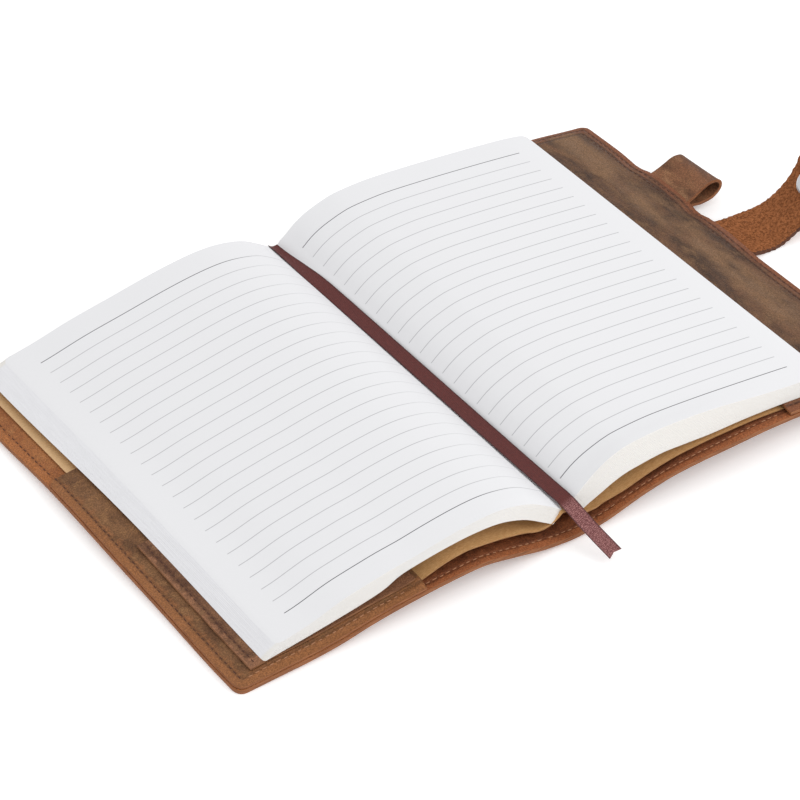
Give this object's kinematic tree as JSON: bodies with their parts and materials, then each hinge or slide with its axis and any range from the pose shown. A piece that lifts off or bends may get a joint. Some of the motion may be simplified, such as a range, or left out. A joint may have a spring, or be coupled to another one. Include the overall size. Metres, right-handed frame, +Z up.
{
  "type": "leather notebook cover",
  "caption": "Brown leather notebook cover lying open on its lined refill notebook, with a snap strap and a pen loop.",
  "frame": {"origin": "on the table under the middle of the leather spine", "axes": "+X from the front cover to the back cover, +Y to the head of the pages, +Z up out of the open pages"},
  "size_m": [0.3867, 0.2409, 0.0264],
  "materials": {
    "cover_leather": "satin",
    "panel_leather": "satin",
    "suede": "matte",
    "kraft": "matte",
    "paper": "matte",
    "ribbon": "satin",
    "thread": "matte",
    "snap_metal": "polished"
  },
  "bodies": {
    "back_cover": {"back_cover_leather": "cover_leather", "back_sleeve_panel": "panel_leather", "back_card": "kraft", "strap_anchor": "suede", "back_seam_thread": "thread", "pen_loop": "panel_leather"},
    "spine": {"spine_leather": "cover_leather", "notebook_spine": "kraft"},
    "front_cover": {"front_cover_leather": "cover_leather", "front_pocket_panel": "panel_leather", "front_card_pocket": "panel_leather", "front_card": "kraft", "front_seam_thread": "thread", "snap_stud": "snap_metal", "snap_stud_cap": "snap_metal"},
    "right_pages": {"right_signature_1": "paper", "right_signature_2": "paper", "right_signature_3": "paper", "right_signature_4": "paper"},
    "ribbon": {"page_ribbon": "ribbon"},
    "left_pages": {"left_signature_1": "paper", "left_signature_2": "paper", "left_signature_3": "paper"},
    "strap_root": {"strap_root": "suede"},
    "strap_tip": {"strap_tip": "suede", "snap_socket": "snap_metal", "snap_cap": "snap_metal"}
  },
  "joints": [
    {"name": "cover_fold", "type": "hinge", "parent": "back_cover", "child": "spine", "pos_m": [0.0145, 0, 0.002], "axis": [0, 1, 0], "range_deg": [0, 90]},
    {"name": "front_turn", "type": "hinge", "parent": "spine", "child": "front_cover", "pos_m": [-0.0145, 0, 0.002], "axis": [0, 1, 0], "range_deg": [0, 89.21]},
    {"name": "right_pages_slide", "type": "slide", "parent": "back_cover", "child": "right_pages", "axis": [0.9502, 0, -0.3116], "range_m": [0, 0.0321]},
    {"name": "left_pages_slide", "type": "slide", "parent": "front_cover", "child": "left_pages", "axis": [-0.8145, 0, -0.5802], "range_m": [0, 0.01116]},
    {"name": "ribbon_slide", "type": "slide", "parent": "back_cover", "child": "ribbon", "axis": [0.9819, 0, 0.1893], "range_m": [0, 0.03116]},
    {"name": "strap_wrap", "type": "hinge", "parent": "back_cover", "child": "strap_root", "pos_m": [0.1666, 0.0075, 0.0032], "axis": [0, -1, 0], "range_deg": [0, 75.2]},
    {"name": "strap_fold", "type": "hinge", "parent": "strap_root", "child": "strap_tip", "pos_m": [0.19909, 0.0075, 0.01178], "axis": [0, -1, 0], "range_deg": [0, 72.8]}
  ],
  "couplings": [
    {"joint": "front_turn", "follows": "cover_fold", "ratio": 0.99124},
    {"joint": "right_pages_slide", "follows": "cover_fold", "m_per_rad": 0.020434},
    {"joint": "left_pages_slide", "follows": "cover_fold", "m_per_rad": 0.0071051},
    {"joint": "ribbon_slide", "follows": "cover_fold", "m_per_rad": 0.019839},
    {"joint": "strap_fold", "follows": "strap_wrap", "ratio": 0.96808}
  ]
}
